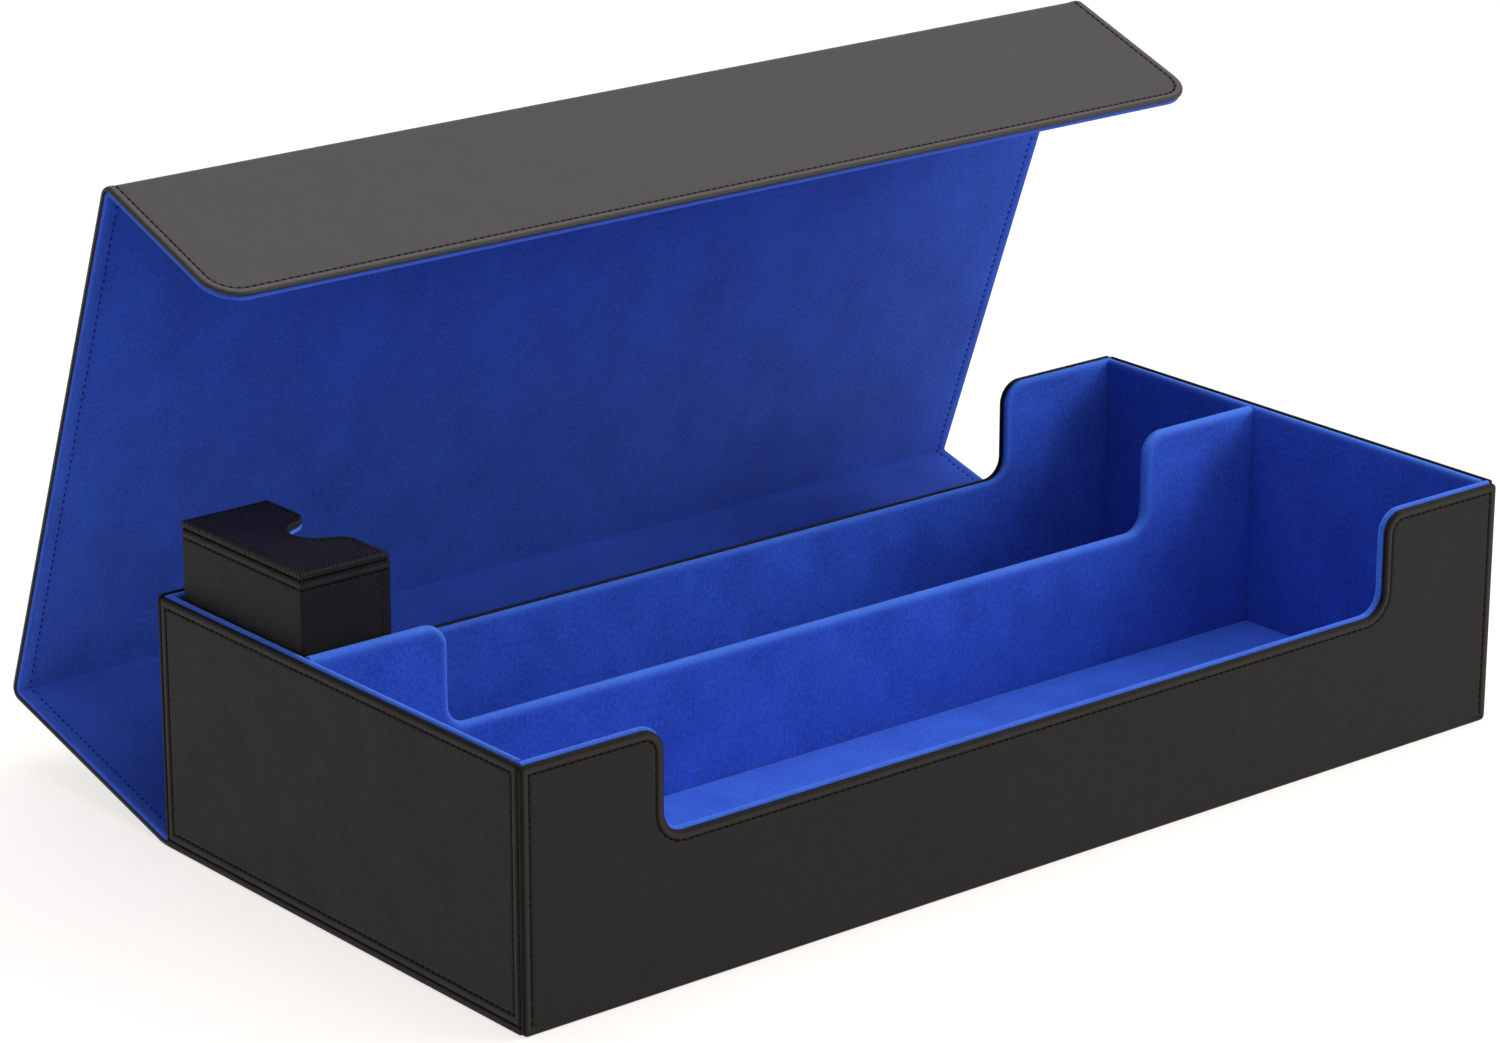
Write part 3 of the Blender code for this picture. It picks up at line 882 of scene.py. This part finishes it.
def add_fold(name, fold, leather_span, suede_span, zone, nodes):
    """The leather and suede that bend over a hinge, with their stitches."""
    leather_profile = sewn_edge(LEATHER_HIGH - LEATHER_LOW)
    suede_profile = sewn_suede_edge(SUEDE_HIGH - SUEDE_LOW)
    skin = strip(
        name + "_leather", fold, *leather_span, leather_profile, HALF, LEATHER_HIGH, -1, LIT_LEATHER_COVER
    )
    lining = strip(
        name + "_suede", fold, *suede_span, suede_profile, HALF - SUEDE_INSET, SUEDE_LOW, 1, SHADED_SUEDE_COVER
    )
    black = Seam(name + "_stitches", BLACK_THREAD)
    blue = Seam(name + "_suede_stitches", BLUE_THREAD)
    for side in (-1, 1):
        x = side * (HALF - STITCH_INSET)
        black.on_fold(fold, *leather_span, x, LEATHER_LOW + STITCH_SINK, -1)
        x = side * (HALF - SUEDE_INSET - SUEDE_STITCH_INSET)
        blue.on_fold(fold, *suede_span, x, SUEDE_HIGH - STITCH_SINK, 1)
    outer = [(skin, "leather_cover"), (black.piece(), "leather_cover")]
    inner = [(lining, "suede_cover"), (blue.piece(), "suede_cover")]
    for pieces, h in ((outer, LEATHER_HIGH), (inner, SUEDE_HIGH)):
        start, end = fold.point(zone[0], 0, h), fold.point(zone[1], 0, h)
        for piece, slot in pieces:
            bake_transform(piece)
    if nodes:
        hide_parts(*nodes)


def add_cover():
    back_length = (BACK_LINE - BASE_LINE).length
    top_length = (FLAP_LINE - BACK_LINE).length
    add_panel("back", BASE_LINE, BACK_WAY, STRIP, back_length - STRIP, 0, 0, "cut",
              ("back_panel", "back_panel_liner"))
    add_panel("top", BACK_LINE, TOP_WAY, STRIP, top_length - FLARE_STRIP, 0, 0, "cut",
              ("top_panel", "top_panel_liner"))
    add_panel("flap", FLAP_LINE, FLAP_WAY, STRIP, FLAP_LENGTH, SUEDE_INSET, FLAP_CORNER, "sewn",
              ("flap_panel", "flap_liner"))
    add_fold("base_fold", BASE_FOLD, (BASE_LEATHER_START, STRIP),
             (BASE_SUEDE_START, STRIP), BASE_ZONE, ("base_hinge",))
    add_fold("back_fold", BACK_FOLD, (-STRIP, STRIP), (-STRIP, STRIP), BACK_ZONE,
             ("back_hinge",))
    flaring, folding = (-FLARE_STRIP, -FLARE_END), (-FLARE_END, STRIP)
    add_fold("flare_fold", FLAP_FOLD, flaring, flaring, FLARE_ZONE, ())
    add_fold("flap_fold", FLAP_FOLD, folding, folding, FLAP_ZONE, ("flap_hinge",))


# ---------------------------------------------------------------- small box


def thumb_corners(left, right, half_y, inset, kind):
    """The top board from above, with the ogee notch in its right edge as short edges."""
    half_notch = THUMB_HALF + inset / 2
    depth = THUMB_DEPTH - inset
    sweep = 2 * math.atan2(depth, half_notch)
    shoulder = half_notch / math.sin(sweep) - THUMB_FOOT
    upper = []
    for k in range(6):
        angle = -sweep * k / 6
        u = right - shoulder + shoulder * math.cos(angle)
        upper.append((u, half_notch + shoulder * math.sin(angle)))
    for k in range(5):
        angle = math.pi - sweep + sweep * k / 5
        u = right - depth + THUMB_FOOT + THUMB_FOOT * math.cos(angle)
        upper.append((u, THUMB_FOOT * math.sin(angle)))
    lower = [(x, -y) for x, y in upper]
    middle = [(right - depth, 0.0)]
    notch = lower + middle + upper[::-1]
    corners = [Corner(left, -half_y, MINI_TOP_CORNER), Corner(right, -half_y, MINI_TOP_CORNER)]
    corners += [Corner(x, y, 0.0, kind) for x, y in notch[:-1]] + [Corner(*notch[-1])]
    corners += [Corner(right, half_y, MINI_TOP_CORNER), Corner(left, half_y, MINI_TOP_CORNER)]
    return corners


class Wrap:
    """A sheet round three sides of a box: along the front, the left end and the rear."""

    def __init__(self, low, high, radius):
        self.low, self.high, self.radius = low, high, radius

    def stations(self):
        """(outer point, way out, distance) along the wrap, from the front's right end."""
        low, high, r = self.low, self.high, self.radius
        spots = [(Vector((high.x, low.y, 0)), -Y)]
        for centre, first in (((low.x + r, low.y + r), -90), ((low.x + r, high.y - r), 180)):
            for k in range(7):
                angle = math.radians(first - 90 * k / 6)
                way = Vector((math.cos(angle), math.sin(angle), 0))
                spots.append((Vector((centre[0], centre[1], 0)) + way * r, way))
        spots.append((Vector((high.x, high.y, 0)), Y))
        distance = 0.0
        stations = []
        for i, (point, way) in enumerate(spots):
            if i:
                distance += (point - spots[i - 1][0]).length
            stations.append((point, way, distance))
        return stations


def wrap_box(name, wrap, bottom, top, thickness, profile, material):
    """The wrap's wall between two levels, with the profile along its two long edges."""
    rings, coordinates, rims = [], [], []
    for point, way, distance in wrap.stations():
        lower, upper = [], []
        for row in profile:
            h = row.height + row.relief - thickness
            # The foot's edge takes 0.3 of the painted edge highlight and shade.
            lower.append((point + way * h + Z * (bottom + row.inset), bottom + row.inset, row.rim * 0.3))
            upper.append((point + way * h + Z * (top - row.inset), top - row.inset, row.rim))
        section = lower + upper[::-1]
        rings.append([p for p, _, _ in section])
        coordinates.append([(-distance, v) for _, v, _ in section])
        rims.append([rim for _, _, rim in section])
    return loft(name, rings, coordinates, rims, material)


def add_mini_leather():
    low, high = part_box("mini_bottom")
    wall_low, wall_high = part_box("mini_back")
    outer = Wrap(low, high, MINI_CORNER)
    thickness = wall_high.x - wall_low.x
    profile = sewn_edge(thickness)
    wall = wrap_box("mini_wall_leather", outer, wall_low.z, wall_high.z, thickness, profile, LEATHER_MINI)
    settle(wall, "mini_box", "leather_mini", "mini_back", "mini_front", "mini_rear")
    centre, half = (low + high) / 2, (high - low) / 2
    corners = box_corners(-half.x, -half.y, half.x, half.y, MINI_BOTTOM_CORNER, ["plain"] * 4)
    sheet = Sheet((centre.x, centre.y, high.z), X, -Y)
    profile = round_edge(high.z - low.z, 0.4 * MM, 0.7 * MM)
    piece = board("mini_bottom_leather", corners, profile, sheet, LEATHER_MINI)
    settle(piece, "mini_box", "leather_mini", "mini_bottom")
    top_low, top_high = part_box("mini_top")
    thickness = top_high.z - top_low.z
    sheet = Sheet((centre.x, centre.y, top_low.z), X, Y)
    corners = thumb_corners(-half.x, half.x, half.y, 0.0, "plain")
    profile = round_edge(thickness, 0.6 * MM, 0.9 * MM)
    piece = board("mini_top_leather", corners, profile, sheet, LEATHER_MINI)
    settle(piece, "mini_box", "leather_mini", "mini_top")
    seam = Seam("mini_stitches", BLACK_THREAD)
    around = [corner._replace(edge="sewn") for corner in corners]
    seam.on_board(around, sheet, thickness - STITCH_SINK, TOP_STITCH_INSET)
    add_mini_stitches(seam, outer, wall_low.z, wall_high.z, high.x)


def add_mini_stitches(seam, outer, bottom, top, right):
    """A row under the top all round, and one down each open edge."""
    level = top - STITCH_INSET
    rows = {}
    for point, way, _ in outer.stations():
        key = (round(way.x), round(way.y))
        if abs(way.x) > 0.99 or abs(way.y) > 0.99:
            rows.setdefault(key, []).append((point, way))
    for ends in rows.values():
        way = ends[0][1].copy()
        line = [point - way * STITCH_SINK + Z * level for point, _ in ends]
        inner = (line[-1] - line[0]).normalized() * SEAM_END
        sew(seam.shape, [line[0] + inner, line[-1] - inner], lambda tangent, place, way=way: way)
    for y, way in ((outer.low.y, -Y), (outer.high.y, Y)):
        x = right - STITCH_INSET
        line = [Vector((x, y, z)) - way * STITCH_SINK for z in (bottom + SEAM_FOOT, level)]
        sew(seam.shape, line, lambda tangent, place, way=way: way)
    settle(seam.piece(), "mini_box", "leather_mini")


def add_mini_suede():
    low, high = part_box("mini_liner")
    sleeve = Wrap(low, high, SLEEVE_CORNER)
    profile = round_edge(SLEEVE, 0.4 * MM, 0.4 * MM)
    piece = wrap_box("mini_sleeve_suede", sleeve, low.z, high.z, SLEEVE, profile, SUEDE_MINI)
    settle(piece, "mini_box", "suede_mini", "mini_liner")
    centre, half = (low + high) / 2, (high - low) / 2
    inner_y = half.y - SLEEVE
    floor = box_corners(-half.x + SLEEVE, -inner_y, half.x, inner_y, 0, ["plain"] * 4)
    sheet = Sheet((centre.x, centre.y, low.z + FLOOR_LIFT), X, Y)
    profile = round_edge(SLEEVE, 0.3 * MM, 0.5 * MM)
    settle(board("mini_floor_suede", floor, profile, sheet, SUEDE_MINI), "mini_box", "suede_mini")
    box_low, box_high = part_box("mini_top")
    box_half = (box_high - box_low) / 2
    sheet = Sheet(((box_low.x + box_high.x) / 2, centre.y, high.z - SLEEVE), X, Y)
    ceiling = thumb_corners(-box_half.x + LEFT_CLEARANCE, box_half.x, inner_y, THUMB_RIM, "rolled")
    settle(board("mini_ceiling_suede", ceiling, profile, sheet, SUEDE_MINI), "mini_box", "suede_mini")


# ---------------------------------------------------------------- CAD nodes that stay


def finish_hidden_nodes():
    paperboard, steel = hidden_board("paperboard"), plated_steel("magnet_steel")
    for name, node in frame["nodes"].items():
        if name == "floor_board":
            finish = paperboard
        elif "magnet" in name:
            finish = steel
        else:
            continue
        node.data.materials.clear()
        node.data.materials.append(finish)


# ---------------------------------------------------------------- stage


def add_floor():
    shape = bmesh.new()
    bmesh.ops.create_grid(shape, x_segments=4, y_segments=4, size=FLOOR_HALF)
    material = bpy.data.materials.new("pale_floor")
    material.use_nodes = True
    shader = material.node_tree.nodes["Principled BSDF"]
    shader.inputs["Base Color"].default_value = (0.32, 0.316, 0.31, 1.0)
    shader.inputs["Emission Color"].default_value = (1.0, 0.975, 0.955, 1.0)
    shader.inputs["Emission Strength"].default_value = 0.72
    shader.inputs["Roughness"].default_value = 0.9
    floor = finish_mesh("floor", shape, material)
    floor.location.z = -FLOOR_DROP


def add_light(name, place, target, size, power):
    data = bpy.data.lights.new(name, "AREA")
    data.shape = "RECTANGLE"
    data.size, data.size_y = size
    data.energy = power
    data.color = LAMP_COLOUR
    lamp = bpy.data.objects.new(name, data)
    bpy.context.scene.collection.objects.link(lamp)
    lamp.location = place
    lamp.rotation_euler = (Vector(target) - Vector(place)).to_track_quat("-Z", "Y").to_euler()


def add_world():
    """Pale light all round, dimmer from the left. The camera itself sees it white."""
    world = bpy.data.worlds.new("studio")
    world.use_nodes = True
    tree = world.node_tree
    background = tree.nodes["Background"]
    background.inputs["Color"].default_value = (1.0, 0.985, 0.965, 1.0)
    split = tree.nodes.new("ShaderNodeSeparateXYZ")
    tree.links.new(tree.nodes.new("ShaderNodeTexCoord").outputs["Generated"], split.inputs["Vector"])
    side = tree.nodes.new("ShaderNodeMapRange")
    side.inputs["From Min"].default_value = -1.0
    side.inputs["From Max"].default_value = 1.0
    side.inputs["To Min"].default_value = LEFT_STRENGTH
    side.inputs["To Max"].default_value = RIGHT_STRENGTH
    tree.links.new(split.outputs["X"], side.inputs["Value"])
    seen = tree.nodes.new("ShaderNodeLightPath").outputs["Is Camera Ray"]
    strength = tree.nodes.new("ShaderNodeMath")
    strength.operation = "MAXIMUM"
    tree.links.new(side.outputs["Result"], strength.inputs[0])
    tree.links.new(seen, strength.inputs[1])
    tree.links.new(strength.outputs[0], background.inputs["Strength"])
    bpy.context.scene.world = world


def add_studio():
    add_world()
    bpy.context.scene.view_settings.view_transform = "Standard"
    add_light("overhead", place=(0.1, 0.1, 1.9), target=(0, 0, 0), size=(1.8, 1.2), power=14.5)
    add_light("right_front", place=(1.1, -0.95, 0.75), target=(0.1, 0, 0.08), size=(0.7, 0.7), power=14)


def add_camera():
    low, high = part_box("front_wall")
    length = high.x - low.x
    corner = Vector((low.x, low.y, low.z))
    eye, target = corner + EYE * length, corner + AIM * length
    data = bpy.data.cameras.new("camera")
    data.lens = LENS
    data.sensor_width = SENSOR_WIDTH
    camera = bpy.data.objects.new("camera", data)
    bpy.context.scene.collection.objects.link(camera)
    camera.location = eye
    turn = (target - eye).to_track_quat("-Z", "Y").to_matrix()
    camera.rotation_euler = (turn @ Matrix.Rotation(ROLL, 3, "Z")).to_euler()
    bpy.context.scene.camera = camera


def build():
    seam = Seam("tray_stitches", BLACK_THREAD)
    add_tray_leather(seam)
    settle(seam.piece(), "tray", "leather_tray")
    add_tray_suede()
    add_cover()
    add_mini_leather()
    add_mini_suede()
    finish_hidden_nodes()
    add_floor()
    add_studio()
    add_camera()


build()
